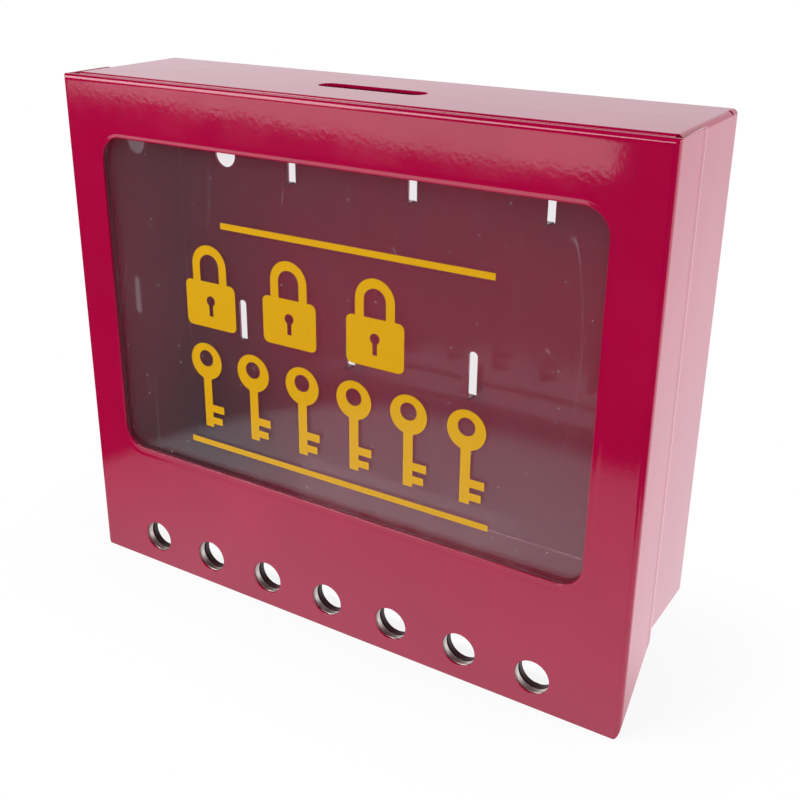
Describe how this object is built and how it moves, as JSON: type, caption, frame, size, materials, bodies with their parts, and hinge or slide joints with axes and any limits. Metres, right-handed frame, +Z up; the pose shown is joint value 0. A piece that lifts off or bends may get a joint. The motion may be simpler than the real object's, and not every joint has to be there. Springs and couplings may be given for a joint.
{
  "type": "group lockout box",
  "caption": "Wall-hung group lockout box: folded steel box with key slot and hooks, windowed cover on a continuous top hinge, and a row of padlock holes below.",
  "frame": {"origin": "on the back panel's outer face, on the vertical centre line, 170 mm above the cover's bottom edge", "axes": "+X to the right of someone facing the cover, +Y back into the wall, +Z up"},
  "size_m": [0.313, 0.08, 0.2665],
  "materials": {
    "red_paint": "glossy powder coat",
    "bare_steel": "bare, rolled",
    "plated_steel": "zinc plated",
    "clear_plastic": "clear polycarbonate, polished",
    "dark_foam": "closed-cell foam",
    "dark_primer": "matt oxide primer"
  },
  "bodies": {
    "base": {"base_box": "red_paint", "lock_angle": "dark_primer", "lock_angle_rivet_1": "plated_steel", "lock_angle_rivet_2": "plated_steel", "lock_angle_rivet_3": "plated_steel", "lock_angle_rivet_4": "plated_steel", "lock_angle_rivet_5": "plated_steel", "hinge_leaf_base": "red_paint", "hinge_pin": "plated_steel"},
    "cover": {"cover": "red_paint", "lock_bar": "bare_steel", "window_gasket": "dark_foam", "window_pane": "clear_plastic", "retainer_bottom": "plated_steel", "retainer_top": "plated_steel", "retainer_left": "plated_steel", "retainer_right": "plated_steel", "retainer_stud_01": "plated_steel", "retainer_stud_02": "plated_steel", "retainer_stud_03": "plated_steel", "retainer_stud_04": "plated_steel", "retainer_stud_05": "plated_steel", "retainer_stud_06": "plated_steel", "retainer_stud_07": "plated_steel", "retainer_stud_08": "plated_steel", "retainer_stud_09": "plated_steel", "retainer_stud_10": "plated_steel", "retainer_stud_11": "plated_steel", "retainer_stud_12": "plated_steel", "retainer_nut_01": "plated_steel", "retainer_nut_02": "plated_steel", "retainer_nut_03": "plated_steel", "retainer_nut_04": "plated_steel", "retainer_nut_05": "plated_steel", "retainer_nut_06": "plated_steel", "retainer_nut_07": "plated_steel", "retainer_nut_08": "plated_steel", "retainer_nut_09": "plated_steel", "retainer_nut_10": "plated_steel", "retainer_nut_11": "plated_steel", "retainer_nut_12": "plated_steel", "hinge_leaf_cover": "red_paint"}
  },
  "joints": [
    {"name": "cover_hinge", "type": "hinge", "parent": "base", "child": "cover", "pos_m": [0, -0.0744, 0.0943], "axis": [-1, 0, 0], "range_deg": [0, 100]}
  ]
}
